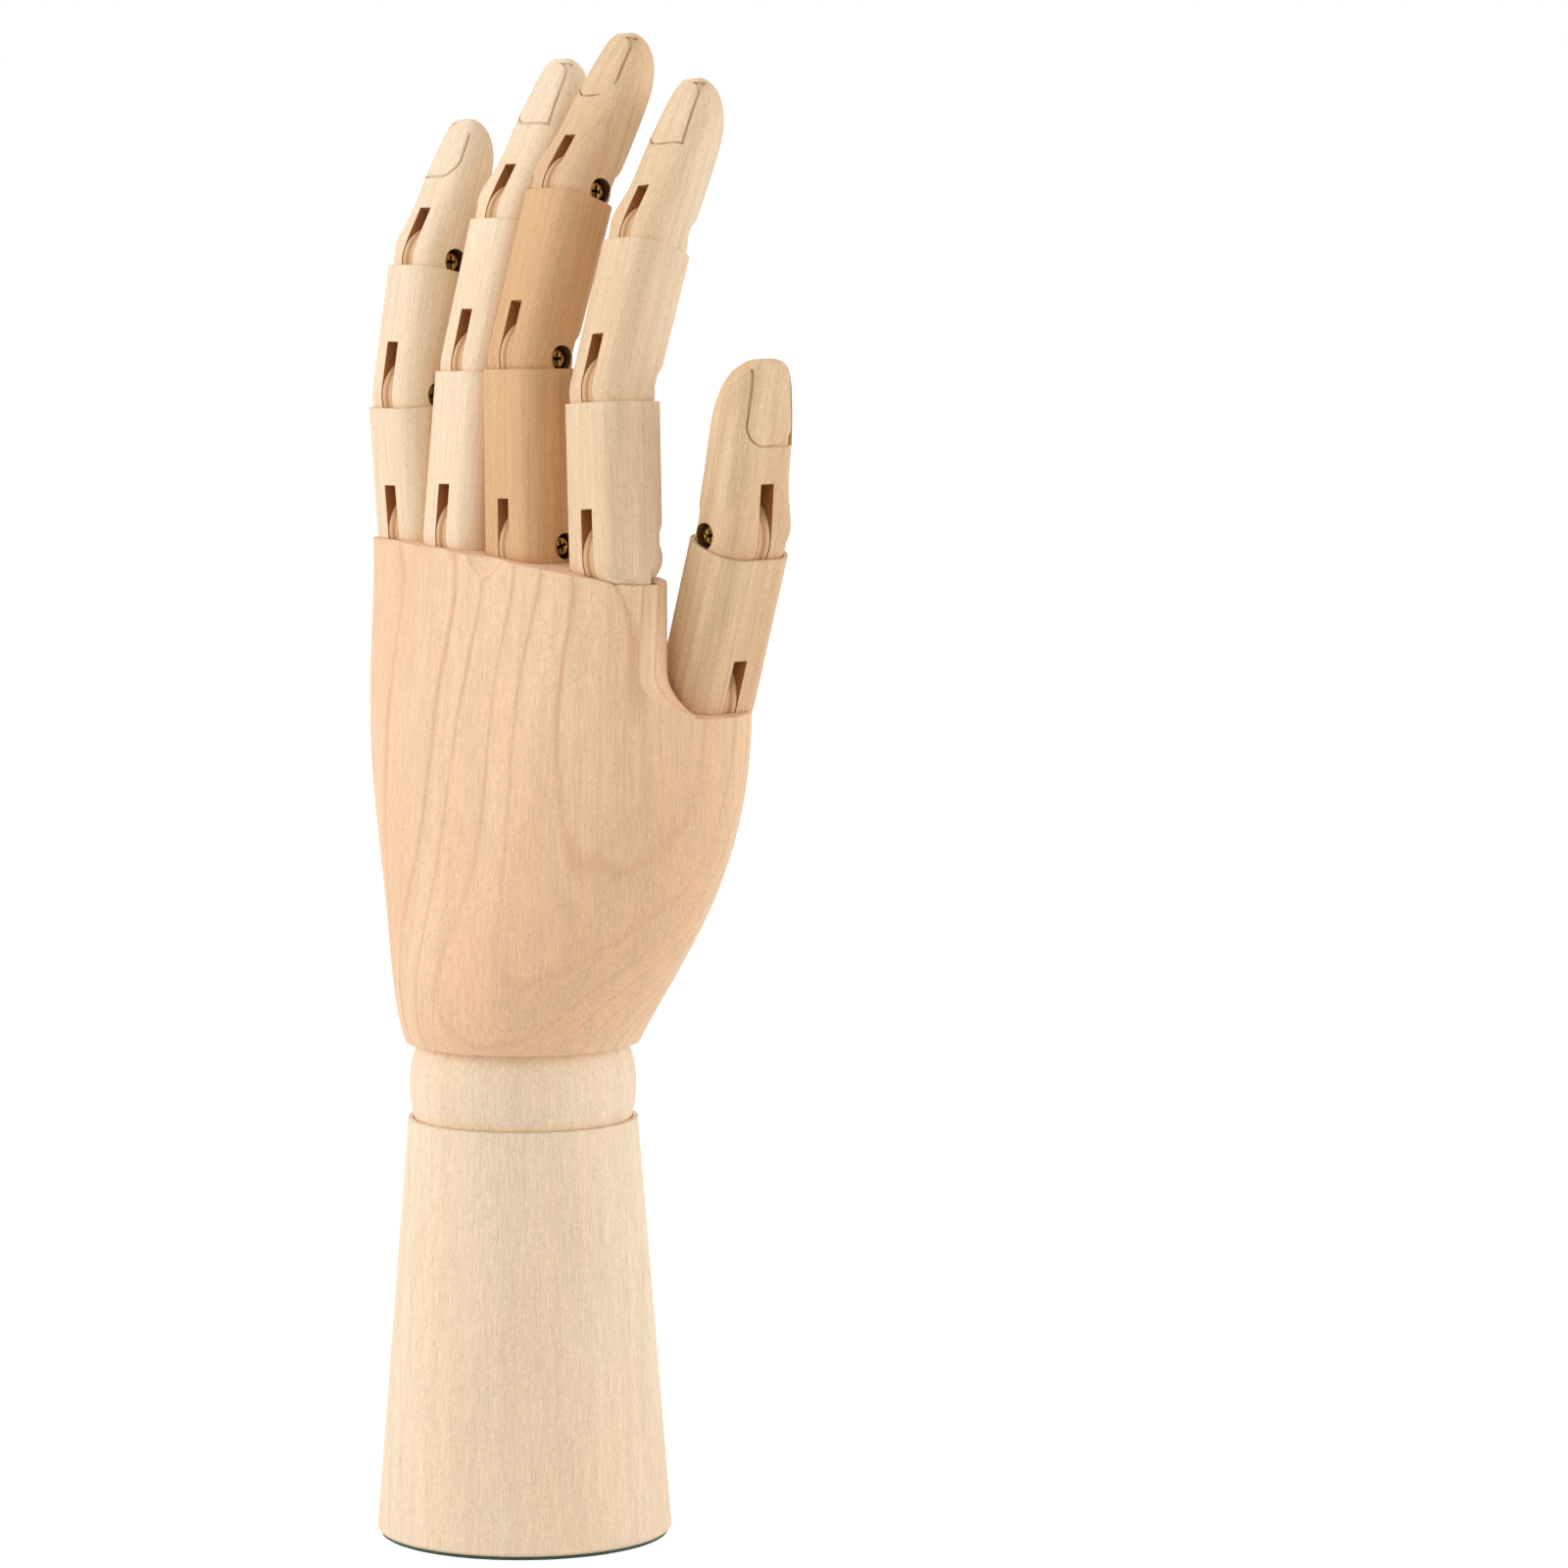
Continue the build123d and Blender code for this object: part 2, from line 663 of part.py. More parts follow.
for name in finger_names:
    build_digit(name, knuckle_frames[name], finger_size_share[name],
                (knuckle_section, centre_section, tip_section),
                segment_lengths[name], finger_bends[name], screw_sides[name],
                finger_slot_reaches)
build_digit("thumb", thumb_frame(), thumb_size_share, (knuckle_section, centre_section),
            thumb_lengths, thumb_bends, thumb_screw_sides, thumb_slot_reaches)
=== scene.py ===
"""A jointed hand of turned and carved wood: its finishes, screws, wrist spring and felt."""
import json
import logging
import math
from dataclasses import dataclass, field
from enum import Enum
from typing import Any

import bmesh
import bpy
from mathutils import Euler, Matrix, Vector, noise


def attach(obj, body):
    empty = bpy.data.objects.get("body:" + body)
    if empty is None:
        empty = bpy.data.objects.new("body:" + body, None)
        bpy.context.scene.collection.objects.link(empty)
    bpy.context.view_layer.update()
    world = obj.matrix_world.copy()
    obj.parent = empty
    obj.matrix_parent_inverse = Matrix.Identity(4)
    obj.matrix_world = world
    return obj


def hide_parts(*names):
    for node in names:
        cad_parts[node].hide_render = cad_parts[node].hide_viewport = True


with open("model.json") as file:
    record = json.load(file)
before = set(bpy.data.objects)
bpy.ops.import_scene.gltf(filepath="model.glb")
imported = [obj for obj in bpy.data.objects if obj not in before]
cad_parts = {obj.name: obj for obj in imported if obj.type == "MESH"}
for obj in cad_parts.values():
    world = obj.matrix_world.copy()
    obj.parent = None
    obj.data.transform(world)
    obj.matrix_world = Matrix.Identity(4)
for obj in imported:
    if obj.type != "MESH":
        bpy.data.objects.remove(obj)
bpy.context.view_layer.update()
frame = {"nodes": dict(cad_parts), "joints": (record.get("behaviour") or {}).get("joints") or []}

log = logging.getLogger("wooden_hand")

MM = 0.001
WHITE = (1.0, 1.0, 1.0, 1.0)

# Points of a turned form that lie this close, in metres, become one
WELD_DISTANCE = 1e-6

# The refractive index of bare wood and of wool
DULL_IOR = 1.5

# Numbers of a colour mix's two inputs and of its output
COLOUR_A, COLOUR_B, COLOUR_OUT = 6, 7, 2

# A wave texture runs through this many radians over one unit at scale 1
WAVE_RADIANS = 20


class Sawing(Enum):
    """How a piece of wood was sawn, which decides the figure of its growth rings."""

    QUARTER = "straight lines along the piece"
    FLAT = "tall arches along the piece"


class Side(Enum):
    """Which end of a hinge pin the screw's head is at, along the hinge's own X."""

    PLUS = 1
    MINUS = -1


def linear(hex_colour: str) -> tuple[float, float, float, float]:
    """Turns an sRGB hex colour into the linear colour that a shader socket takes.

    Args:
        hex_colour: Six hex digits after a hash.

    Returns:
        Red, green, blue and an alpha of one.
    """
    channels = []
    for start in (1, 3, 5):
        value = int(hex_colour[start:start + 2], 16) / 255
        channels.append(value / 12.92 if value <= 0.04045 else ((value + 0.055) / 1.055) ** 2.4)
    return (channels[0], channels[1], channels[2], 1.0)


def add(tree: bpy.types.NodeTree, kind: str, inputs: dict[Any, Any] | None = None,
        **settings: Any) -> bpy.types.Node:
    """Adds one shader node with its settings and links.

    Args:
        tree: The tree that gets the node.
        kind: The node's type.
        inputs: Input name or number to a value, or to the socket that is linked to it.
        settings: The node's own properties.

    Returns:
        The new node.
    """
    node = tree.nodes.new(kind)
    for name, value in settings.items():
        setattr(node, name, value)
    for key, value in (inputs or {}).items():
        if isinstance(value, bpy.types.NodeSocket):
            tree.links.new(value, node.inputs[key])
        else:
            node.inputs[key].default_value = value
    return node


def mixed(tree: bpy.types.NodeTree, share: Any, first: Any, second: Any) -> bpy.types.NodeSocket:
    """Adds a mix of two colours.

    Args:
        tree: The tree that gets the node.
        share: How much of the second colour comes in, as a value or a socket.
        first: The first colour, as a value or a socket.
        second: The second colour, as a value or a socket.

    Returns:
        The mixed colour.
    """
    mix = add(tree, "ShaderNodeMix", {0: share, COLOUR_A: first, COLOUR_B: second},
              data_type="RGBA")
    return mix.outputs[COLOUR_OUT]


def reckoned(tree: bpy.types.NodeTree, operation: str, *terms: Any) -> bpy.types.NodeSocket:
    """Adds one step of arithmetic.

    Args:
        tree: The tree that gets the node.
        operation: The step's name.
        terms: What it takes, in order, as values or sockets.

    Returns:
        The result.
    """
    return add(tree, "ShaderNodeMath", dict(enumerate(terms)), operation=operation).outputs[0]


def vector_step(tree: bpy.types.NodeTree, operation: str, *terms: Any) -> bpy.types.Node:
    """Adds one step of arithmetic with vectors.

    Args:
        tree: The tree that gets the node.
        operation: The step's name.
        terms: What it takes, in order, as vectors or sockets.

    Returns:
        The node, which gives a vector or a value.
    """
    return add(tree, "ShaderNodeVectorMath", dict(enumerate(terms)), operation=operation)


def ranged(tree: bpy.types.NodeTree, value: bpy.types.NodeSocket, low: float, high: float,
           to_low: float = 0.0, to_high: float = 1.0, clamp: bool = True) -> bpy.types.NodeSocket:
    """Adds a change of a value's range.

    Args:
        tree: The tree that gets the node.
        value: The value.
        low: The value that becomes to_low.
        high: The value that becomes to_high.
        to_low: One end of the new range.
        to_high: The other end of the new range.
        clamp: Whether the new value stays between its ends.

    Returns:
        The new value.
    """
    node = add(tree, "ShaderNodeMapRange", {
        "Value": value, "From Min": low, "From Max": high, "To Min": to_low, "To Max": to_high},
        clamp=clamp)
    return node.outputs[0]


def coat(tree: bpy.types.NodeTree, inputs: dict[str, Any]) -> None:
    """Ends a material with its surface.

    Args:
        tree: The material's tree.
        inputs: Input name to a value, or to the socket that is linked to it.
    """
    surface = add(tree, "ShaderNodeBsdfPrincipled", inputs)
    add(tree, "ShaderNodeOutputMaterial", {"Surface": surface.outputs[0]})


def new_tree(name: str) -> tuple[bpy.types.Material, bpy.types.NodeTree]:
    """Makes an empty node material.

    Args:
        name: The material's name.

    Returns:
        The material and its node tree.
    """
    material = bpy.data.materials.new(name)
    material.use_nodes = True
    material.node_tree.nodes.clear()
    return material, material.node_tree


def dress(piece: bpy.types.Object, material: bpy.types.Material) -> None:
    """Gives a piece one material in place of any that it has."""
    piece.data.materials.clear()
    piece.data.materials.append(material)


def piece_from(mesh: bpy.types.Mesh, name: str, place: Matrix, body: str,
               replaced: tuple[str, ...]) -> bpy.types.Object:
    """Makes a piece of the object from a mesh and hangs it on its body.

    Args:
        mesh: The piece's mesh, about its own origin.
        name: The piece's name.
        place: Where the piece is at rest.
        body: The body that it moves with.
        replaced: The solids that it stands for.

    Returns:
        The piece.
    """
    piece = bpy.data.objects.new(name, mesh)
    bpy.context.scene.collection.objects.link(piece)
    piece.matrix_world = place
    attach(piece, body)
    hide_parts(*replaced)
    log.info("%s rides on %s", name, body)
    return piece


def turned(profile: list[tuple[float, float]], steps: int) -> bmesh.types.BMesh:
    """Turns a profile about Z into a closed form.

    Args:
        profile: Points as (radius, height) in metres, the first and last on the axis.
        steps: How many faces go round.

    Returns:
        The form as a bmesh.
    """
    form = bmesh.new()
    points = [form.verts.new((radius, 0.0, height)) for radius, height in profile]
    edges = [form.edges.new(pair) for pair in zip(points, points[1:])]
    bmesh.ops.spin(form, geom=points + edges, cent=(0, 0, 0), axis=(0, 0, 1),
                   angle=2 * math.pi, steps=steps, use_merge=True)
    bmesh.ops.remove_doubles(form, verts=form.verts, dist=WELD_DISTANCE)
    bmesh.ops.recalc_face_normals(form, faces=form.faces)
    return form


def mesh_of(form: bmesh.types.BMesh, name: str, sharp_degrees: float) -> bpy.types.Mesh:
    """Turns a bmesh into a smooth mesh that keeps its sharp edges.

    Args:
        form: The form, which is freed.
        name: The mesh's name.
        sharp_degrees: The angle above which an edge stays sharp.

    Returns:
        The mesh.
    """
    mesh = bpy.data.meshes.new(name)
    form.to_mesh(mesh)
    form.free()
    mesh.shade_smooth()
    mesh.set_sharp_from_angle(angle=math.radians(sharp_degrees))
    return mesh


@dataclass(frozen=True)
class Grain:
    """Where a piece's grain runs, and where its hinge was cut.

    Attributes:
        origin: The middle of the piece's foot, or its hinge pin, in metres.
        along: The direction of the grain.
        across: The direction of the hinge pin, or any direction across the grain.
        pith: How far the tree's middle lies off the piece across and in depth, in mm.
        lean: How far the tree's middle leans off the grain, in degrees.
        sawing: The figure that the growth rings make.
        screw_side: The side of the screw's head, or None where the piece has no hinge foot.
        slot_reach: How far the slot reaches past the hinge pin, in mm.
    """

    origin: Vector
    along: Vector
    across: Vector
    pith: tuple[float, float]
    lean: tuple[float, float] = (0.0, 0.0)
    sawing: Sawing = Sawing.QUARTER
    screw_side: Side | None = None
    slot_reach: float = 0.0

    def rotation(self) -> Euler:
        """Gives the turn from the grain's own axes to the object's."""
        along = self.along.normalized()
        across = (self.across - along * self.across.dot(along)).normalized()
        depth = along.cross(across)
        return Matrix((across, depth, along)).transposed().to_euler("XYZ")


@dataclass(frozen=True)
class Basswood:
    """Basswood, turned or carved, sanded and left bare.

    Sanding leaves a dull, slightly furry surface. The growth rings show as faint darker lines
    with soft edges, and the pores as short pale and dark flecks along the grain.

    Attributes:
        pale: The early wood.
        deep: The late wood, at the end of each ring.
        blush: The tint of the warmer patches.
        shade: The tint of the greyer patches.
        ring_mm: The width of a growth ring.
        ring_strength: How strongly the rings show where they show most.
    """

    pale: str
    deep: str
    blush: str
    shade: str
    ring_mm: float = 2.6
    ring_strength: float = 0.2

    # Painted shade on the walls of the slot and in the screw's recess, and how far it reaches
    # from the hinge pin
    slot_shade_colour = "#B07440"
    recess = "#6B4426"
    slot_half_mm = 1.72
    head_room_mm = 2.68

    # Sizes of the patterns across, in depth and along the grain
    fibre_mm = (0.35, 0.35, 12.0)
    fleck_mm = (0.3, 0.3, 0.75)
    patch_mm = (24.0, 24.0, 70.0)
    band_mm = (3.0, 3.0, 150.0)
    warp_mm = (12.0, 12.0, 180.0)

    # How far the rings waver, and how strongly a pattern's finer layers show
    warp_depth_mm = 1.3
    cell_roughness = 0.55

    # Growth rings: places in a ring with their darkness, and the darkness at its two ends
    ring_stops = ((0.08, 0.0), (0.8, 0.1), (0.94, 1.0))
    ring_ends = (0.35, 0.55)
    flat_widening = 1.25
    fade_range = (0.35, 0.6)
    faded_share = 0.3

    # Tints: the pattern's values between which each one comes in, and how far it does
    warm_range = (0.4, 0.62)
    grey_range = (0.4, 0.66)
    grey_share = 0.6
    fine_range = (0.6, 1.4)
    fine_levels = (0.8, 1.17)

    # Edges, relief and gloss
    edge_mm = 0.35
    edge_samples = 4
    edge_range = (0.995, 0.9)
    edge_share = 0.6
    bump_mm = 0.035
    bump_strength = 0.55
    roughness_low = 0.5
    roughness_high = 0.68

    def material(self, name: str, grain: Grain) -> bpy.types.Material:
        """Makes the wood for one piece.

        Args:
            name: The material's name.
            grain: How the grain runs through the piece.

        Returns:
            The material.
        """
        material, tree = new_tree(name)
        coordinates = add(tree, "ShaderNodeTexCoord")
        local = add(tree, "ShaderNodeMapping", {
            "Vector": coordinates.outputs["Object"], "Location": grain.origin,
            "Rotation": grain.rotation(), "Scale": (MM, MM, MM)}, vector_type="TEXTURE")
        point = local.outputs["Vector"]
        fibres = self._cells(tree, point, self.fibre_mm, detail=3.0)
        flecks = self._cells(tree, point, self.fleck_mm, detail=2.0)
        patches = self._cells(tree, point, self.patch_mm, detail=2.0)
        bands = self._cells(tree, point, self.band_mm, detail=2.0)
        rings = self._rings(tree, point, grain)
        colour = self._tone(tree, rings, fibres, flecks, patches, bands)
        bevel = add(tree, "ShaderNodeBevel", {"Radius": self.edge_mm * MM},
                    samples=self.edge_samples)
        # pale edges: partly sanding wear, partly painted highlight
        colour = self._edges(tree, colour, bevel.outputs["Normal"])
        # painted shade in the slot and in the screw's recess
        if grain.screw_side is not None:
            colour = self._painted_hinge_shade(tree, colour, point, grain)
        rough = ranged(tree, flecks, 0.0, 1.0, self.roughness_low, self.roughness_high)
        height = reckoned(tree, "ADD", fibres, flecks)
        bump = add(tree, "ShaderNodeBump", {
            "Strength": self.bump_strength, "Distance": self.bump_mm * MM, "Height": height,
            "Normal": bevel.outputs["Normal"]})
        coat(tree, {"Base Color": colour, "Roughness": rough, "Normal": bump.outputs[0],
                    "IOR": DULL_IOR})
        return material

    def _cells(self, tree: bpy.types.NodeTree, point: bpy.types.NodeSocket,
               size_mm: tuple[float, float, float], detail: float) -> bpy.types.NodeSocket:
        """Makes soft random cells of a given size.

        Args:
            tree: The material's tree.
            point: The point in the grain's own millimetres.
            size_mm: The size of a cell across, in depth and along the grain.
            detail: How many finer layers are added.

        Returns:
            A value about one half.
        """
        scaled = vector_step(tree, "MULTIPLY", point, tuple(1 / size for size in size_mm))
        cells = add(tree, "ShaderNodeTexNoise", {
            "Vector": scaled.outputs[0], "Scale": 1.0, "Detail": detail,
            "Roughness": self.cell_roughness})
        return cells.outputs["Fac"]

    def _rings(self, tree: bpy.types.NodeTree, point: bpy.types.NodeSocket,
               grain: Grain) -> bpy.types.NodeSocket:
        """Cuts the piece out of a tree's growth rings.

        Args:
            tree: The material's tree.
            point: The point in the grain's own millimetres.
            grain: How the grain runs through the piece.

        Returns:
            Zero in the early wood, rising to one at the end of a ring.
        """
        stretched = vector_step(tree, "MULTIPLY", point, tuple(1 / size for size in self.warp_mm))
        warp = add(tree, "ShaderNodeTexNoise", {
            "Vector": stretched.outputs[0], "Scale": 1.0, "Detail": 1.0})
        centred = vector_step(tree, "SUBTRACT", warp.outputs["Color"], (0.5, 0.5, 0.5))
        reach = self.warp_depth_mm * 2
        warped = vector_step(tree, "MULTIPLY_ADD", centred.outputs[0], (reach, reach, 0.0), point)
        lean = tuple(math.radians(angle) for angle in grain.lean)
        trunk = add(tree, "ShaderNodeMapping", {
            "Vector": warped.outputs[0], "Location": (grain.pith[0], grain.pith[1], 0.0),
            "Rotation": (lean[0], lean[1], 0.0)}, vector_type="TEXTURE")
        width = self.ring_mm * (self.flat_widening if grain.sawing is Sawing.FLAT else 1.0)
        wave = add(tree, "ShaderNodeTexWave", {
            "Vector": trunk.outputs[0], "Scale": 2 * math.pi / (WAVE_RADIANS * width),
            "Distortion": 0.0}, wave_type="RINGS", rings_direction="Z", wave_profile="SAW")
        late = add(tree, "ShaderNodeValToRGB", {"Fac": wave.outputs["Fac"]})
        ramp = late.color_ramp
        ramp.interpolation = "EASE"
        for end, value in zip(ramp.elements, self.ring_ends):
            end.color = (value, value, value, 1.0)
        for position, value in self.ring_stops:
            stop = ramp.elements.new(position)
            stop.color = (value, value, value, 1.0)
        return late.outputs["Color"]

    def _tone(self, tree: bpy.types.NodeTree, rings: bpy.types.NodeSocket,
              fibres: bpy.types.NodeSocket, flecks: bpy.types.NodeSocket,
              patches: bpy.types.NodeSocket,
              bands: bpy.types.NodeSocket) -> bpy.types.NodeSocket:
        """Mixes the wood's colour from its patterns.

        Args:
            tree: The material's tree.
            rings: The growth rings.
            fibres: Fine streaks along the grain.
            flecks: Short flecks along the grain.
            patches: Broad patches.
            bands: Long bands, a few millimetres wide.

        Returns:
            The colour.
        """
        warm = ranged(tree, patches, *self.warm_range)
        blushed = mixed(tree, warm, linear(self.pale), linear(self.blush))
        grey = ranged(tree, bands, *self.grey_range, to_high=self.grey_share)
        shaded = mixed(tree, grey, blushed, linear(self.shade))
        faded = ranged(tree, patches, *self.fade_range, self.ring_strength,
                       self.ring_strength * self.faded_share)
        late = reckoned(tree, "MULTIPLY", rings, faded)
        ringed = mixed(tree, late, shaded, linear(self.deep))
        fine = reckoned(tree, "ADD", fibres, flecks)
        level = ranged(tree, fine, *self.fine_range, *self.fine_levels, clamp=False)
        grained = add(tree, "ShaderNodeVectorMath", {0: ringed, "Scale": level},
                      operation="SCALE")
        return grained.outputs[0]

    def _edges(self, tree: bpy.types.NodeTree, colour: bpy.types.NodeSocket,
               softened: bpy.types.NodeSocket) -> bpy.types.NodeSocket:
        """Pales the sharp edges: partly the wear that the sandpaper left there, partly a painted
        highlight where the rounded edges catch the light.

        Args:
            tree: The material's tree.
            colour: The wood's colour.
            softened: The normal with its edges rounded.

        Returns:
            The colour with pale edges.
        """
        flat = add(tree, "ShaderNodeNewGeometry")
        meeting = vector_step(tree, "DOT_PRODUCT", flat.outputs["Normal"], softened)
        edge = ranged(tree, meeting.outputs["Value"], *self.edge_range, to_high=self.edge_share)
        return mixed(tree, edge, colour, linear(self.pale))

    def _painted_hinge_shade(self, tree: bpy.types.NodeTree, colour: bpy.types.NodeSocket,
                    point: bpy.types.NodeSocket, grain: Grain) -> bpy.types.NodeSocket:
        """Paints shade on the walls of the slot and of the screw's recess, where shadow falls.

        Args:
            tree: The material's tree.
            colour: The wood's colour.
            point: The point in the hinge's own millimetres.
            grain: Where the slot and the screw's head are.

        Returns:
            The colour with painted shade in the cuts.
        """
        parts = add(tree, "ShaderNodeSeparateXYZ", {"Vector": point})
        off_middle = reckoned(tree, "ABSOLUTE", parts.outputs["X"])
        in_width = reckoned(tree, "LESS_THAN", off_middle, self.slot_half_mm)
        in_reach = reckoned(tree, "LESS_THAN", parts.outputs["Z"], grain.slot_reach)
        in_slot = reckoned(tree, "MULTIPLY", in_width, in_reach)
        # painted shade on the slot's walls
        slot_shaded = mixed(tree, in_slot, colour, linear(self.slot_shade_colour))
        across = vector_step(tree, "MULTIPLY", point, (0.0, 1.0, 1.0))
        off_pin = vector_step(tree, "LENGTH", across.outputs[0])
        in_recess = reckoned(tree, "LESS_THAN", off_pin.outputs["Value"], self.head_room_mm)
        side = float(grain.screw_side.value)
        outward = reckoned(tree, "MULTIPLY", parts.outputs["X"], side)
        on_side = reckoned(tree, "GREATER_THAN", outward, self.slot_half_mm)
        at_head = reckoned(tree, "MULTIPLY", in_recess, on_side)
        # painted shade in the screw's recess
        return mixed(tree, at_head, slot_shaded, linear(self.recess))


@dataclass(frozen=True)
class SawnPly:
    """Thin birch plywood, sawn to shape: the saw leaves its edge tan, with a darker middle ply.

    Attributes:
        face: The outer plies.
        core: The middle ply and the sawn fibres.
        fibre_mm: The size of the fibres.
        middle_ply_mm: Half the thickness of the middle ply.
        glue_mm: The thickness of the glue line beside it.
        core_share: How much of the core's colour the middle ply takes.
        fibre_share: How much of it the fibres add.
        bump_mm: The height of the fibres.
        bump_strength: How strongly that height shows.
        roughness: The roughness of the sawn edge.
    """

    face: str = "#DDB68A"
    core: str = "#B98554"
    fibre_mm: float = 0.4
    middle_ply_mm: float = 0.5
    glue_mm: float = 0.1
    core_share: float = 0.75
    fibre_share: float = 0.4
    bump_mm: float = 0.04
    bump_strength: float = 0.6
    roughness: float = 0.7

    def material(self, name: str, origin: Vector, across: Vector) -> bpy.types.Material:
        """Makes the plywood for one tongue.

        Args:
            name: The material's name.
            origin: The hinge's place in metres.
            across: The hinge pin's direction, through the plies.

        Returns:
            The material.
        """
        material, tree = new_tree(name)
        coordinates = add(tree, "ShaderNodeTexCoord")
        placed = vector_step(tree, "SUBTRACT", coordinates.outputs["Object"], origin)
        depth = vector_step(tree, "DOT_PRODUCT", placed.outputs[0], across.normalized())
        off_middle = reckoned(tree, "ABSOLUTE", depth.outputs["Value"])
        core = ranged(tree, off_middle, self.middle_ply_mm * MM,
                      (self.middle_ply_mm + self.glue_mm) * MM, self.core_share, 0.0)
        fibres = add(tree, "ShaderNodeTexNoise", {
            "Vector": coordinates.outputs["Object"], "Scale": 1 / (self.fibre_mm * MM),
            "Detail": 2.0})
        blend = reckoned(tree, "MULTIPLY_ADD", fibres.outputs["Fac"], self.fibre_share, core)
        colour = mixed(tree, blend, linear(self.face), linear(self.core))
        bump = add(tree, "ShaderNodeBump", {
            "Strength": self.bump_strength, "Distance": self.bump_mm * MM,
            "Height": fibres.outputs["Fac"]})
        coat(tree, {"Base Color": colour, "Roughness": self.roughness, "IOR": DULL_IOR,
                    "Normal": bump.outputs[0]})
        return material


@dataclass(frozen=True)
class AgedBrass:
    """Brass screws, stamped and left to age: gold where they rub. Their cross recess darkens
    towards its foot.

    Attributes:
        bright: The bare brass.
        tarnish: The stained brass.
        pocket: The colour that the recess darkens to, towards its foot.
        stain_mm: The size of the stains.
        stain_range: The pattern's values between which the stains come in.
        pocket_depth_mm: The depth at which the recess is fully dark.
        bump_mm: The height of the stamped skin.
        bump_strength: How strongly that height shows.
        roughness: The roughness of the head.
    """

    bright: str = "#C49A55"
    tarnish: str = "#5B4423"
    pocket: str = "#1E150C"
    stain_mm: float = 0.9
    stain_range: tuple[float, float] = (0.42, 0.66)
    pocket_depth_mm: float = 0.35
    bump_mm: float = 0.05
    bump_strength: float = 0.4
    roughness: float = 0.34

    def material(self, top_mm: float) -> bpy.types.Material:
        """Makes the brass for a screw that stands about its own origin, its head up.

        Args:
            top_mm: The height of the head's top.

        Returns:
            The material.
        """
        material, tree = new_tree("aged_brass")
        coordinates = add(tree, "ShaderNodeTexCoord")
        stains = add(tree, "ShaderNodeTexNoise", {
            "Vector": coordinates.outputs["Object"], "Scale": 1 / (self.stain_mm * MM),
            "Detail": 3.0})
        stained = ranged(tree, stains.outputs["Fac"], *self.stain_range)
        colour = mixed(tree, stained, linear(self.bright), linear(self.tarnish))
        parts = add(tree, "ShaderNodeSeparateXYZ", {"Vector": coordinates.outputs["Object"]})
        sunk = ranged(tree, parts.outputs["Z"], top_mm * MM, (top_mm - self.pocket_depth_mm) * MM)
        dark = mixed(tree, sunk, colour, linear(self.pocket))
        bump = add(tree, "ShaderNodeBump", {
            "Strength": self.bump_strength, "Distance": self.bump_mm * MM,
            "Height": stains.outputs["Fac"]})
        coat(tree, {"Base Color": dark, "Metallic": 1.0, "Roughness": self.roughness,
                    "Normal": bump.outputs[0]})
        return material


@dataclass(frozen=True)
class DrawnSteel:
    """Steel wire, drawn through a die: fine lines and a grey, even shine.

    Attributes:
        light: The lighter lines.
        dark: The darker lines.
        line_mm: The size of the lines.
        roughness: The roughness of the wire.
    """

    light: str = "#A9A8A4"
    dark: str = "#77756F"
    line_mm: float = 0.3
    roughness: float = 0.32

    def material(self) -> bpy.types.Material:
        """Makes the steel of the spring and of its pins."""
        material, tree = new_tree("drawn_steel")
        coordinates = add(tree, "ShaderNodeTexCoord")
        lines = add(tree, "ShaderNodeTexNoise", {
            "Vector": coordinates.outputs["Object"], "Scale": 1 / (self.line_mm * MM),
            "Detail": 2.0})
        colour = mixed(tree, lines.outputs["Fac"], linear(self.light), linear(self.dark))
        coat(tree, {"Base Color": colour, "Metallic": 1.0, "Roughness": self.roughness})
        return material


@dataclass(frozen=True)
class PressedFelt:
    """Wool felt, pressed and die-cut: matt, with matted fibres and a soft bloom at its edge.

    Attributes:
        deep: The darker fibres.
        light: The lighter fibres.
        fibre_mm: The size of the fibres.
        tangle: How far the fibres are twisted together.
        bump_mm: The height of the fibres.
        bump_strength: How strongly that height shows.
        roughness: The roughness of the wool.
        bloom: The strength of the soft bloom.
    """

    deep: str = "#24382C"
    light: str = "#4B6654"
    fibre_mm: float = 0.4
    tangle: float = 1.5
    bump_mm: float = 0.15
    bump_strength: float = 0.8
    roughness: float = 0.95
    bloom: float = 0.25

    def material(self) -> bpy.types.Material:
        """Makes the felt of the pad."""
        material, tree = new_tree("pressed_felt")
        coordinates = add(tree, "ShaderNodeTexCoord")
        fibres = add(tree, "ShaderNodeTexNoise", {
            "Vector": coordinates.outputs["Object"], "Scale": 1 / (self.fibre_mm * MM),
            "Detail": 4.0, "Distortion": self.tangle})
        colour = mixed(tree, fibres.outputs["Fac"], linear(self.deep), linear(self.light))
        bump = add(tree, "ShaderNodeBump", {
            "Strength": self.bump_strength, "Distance": self.bump_mm * MM,
            "Height": fibres.outputs["Fac"]})
        coat(tree, {"Base Color": colour, "Roughness": self.roughness, "IOR": DULL_IOR,
                    "Sheen Weight": self.bloom, "Normal": bump.outputs[0]})
        return material


PALE = Basswood(pale="#F7E0C2", deep="#D9AA7C", blush="#F6DAB8", shade="#EBD2B2")
HONEY = Basswood(pale="#F0D6B3", deep="#CE9C6C", blush="#ECCAA3", shade="#E0C29E")
ROSY = Basswood(pale="#F4CEA7", deep="#C6835A", blush="#F1C298", shade="#E3BE99",
                ring_mm=2.3, ring_strength=0.46)
TAN = Basswood(pale="#ECCCA4", deep="#BC8654", blush="#E2B98E", shade="#D7B28B",
               ring_strength=0.28)
AMBER = Basswood(pale="#E3B883", deep="#B98250", blush="#DCAC78", shade="#CFA071",
                 ring_strength=0.24)


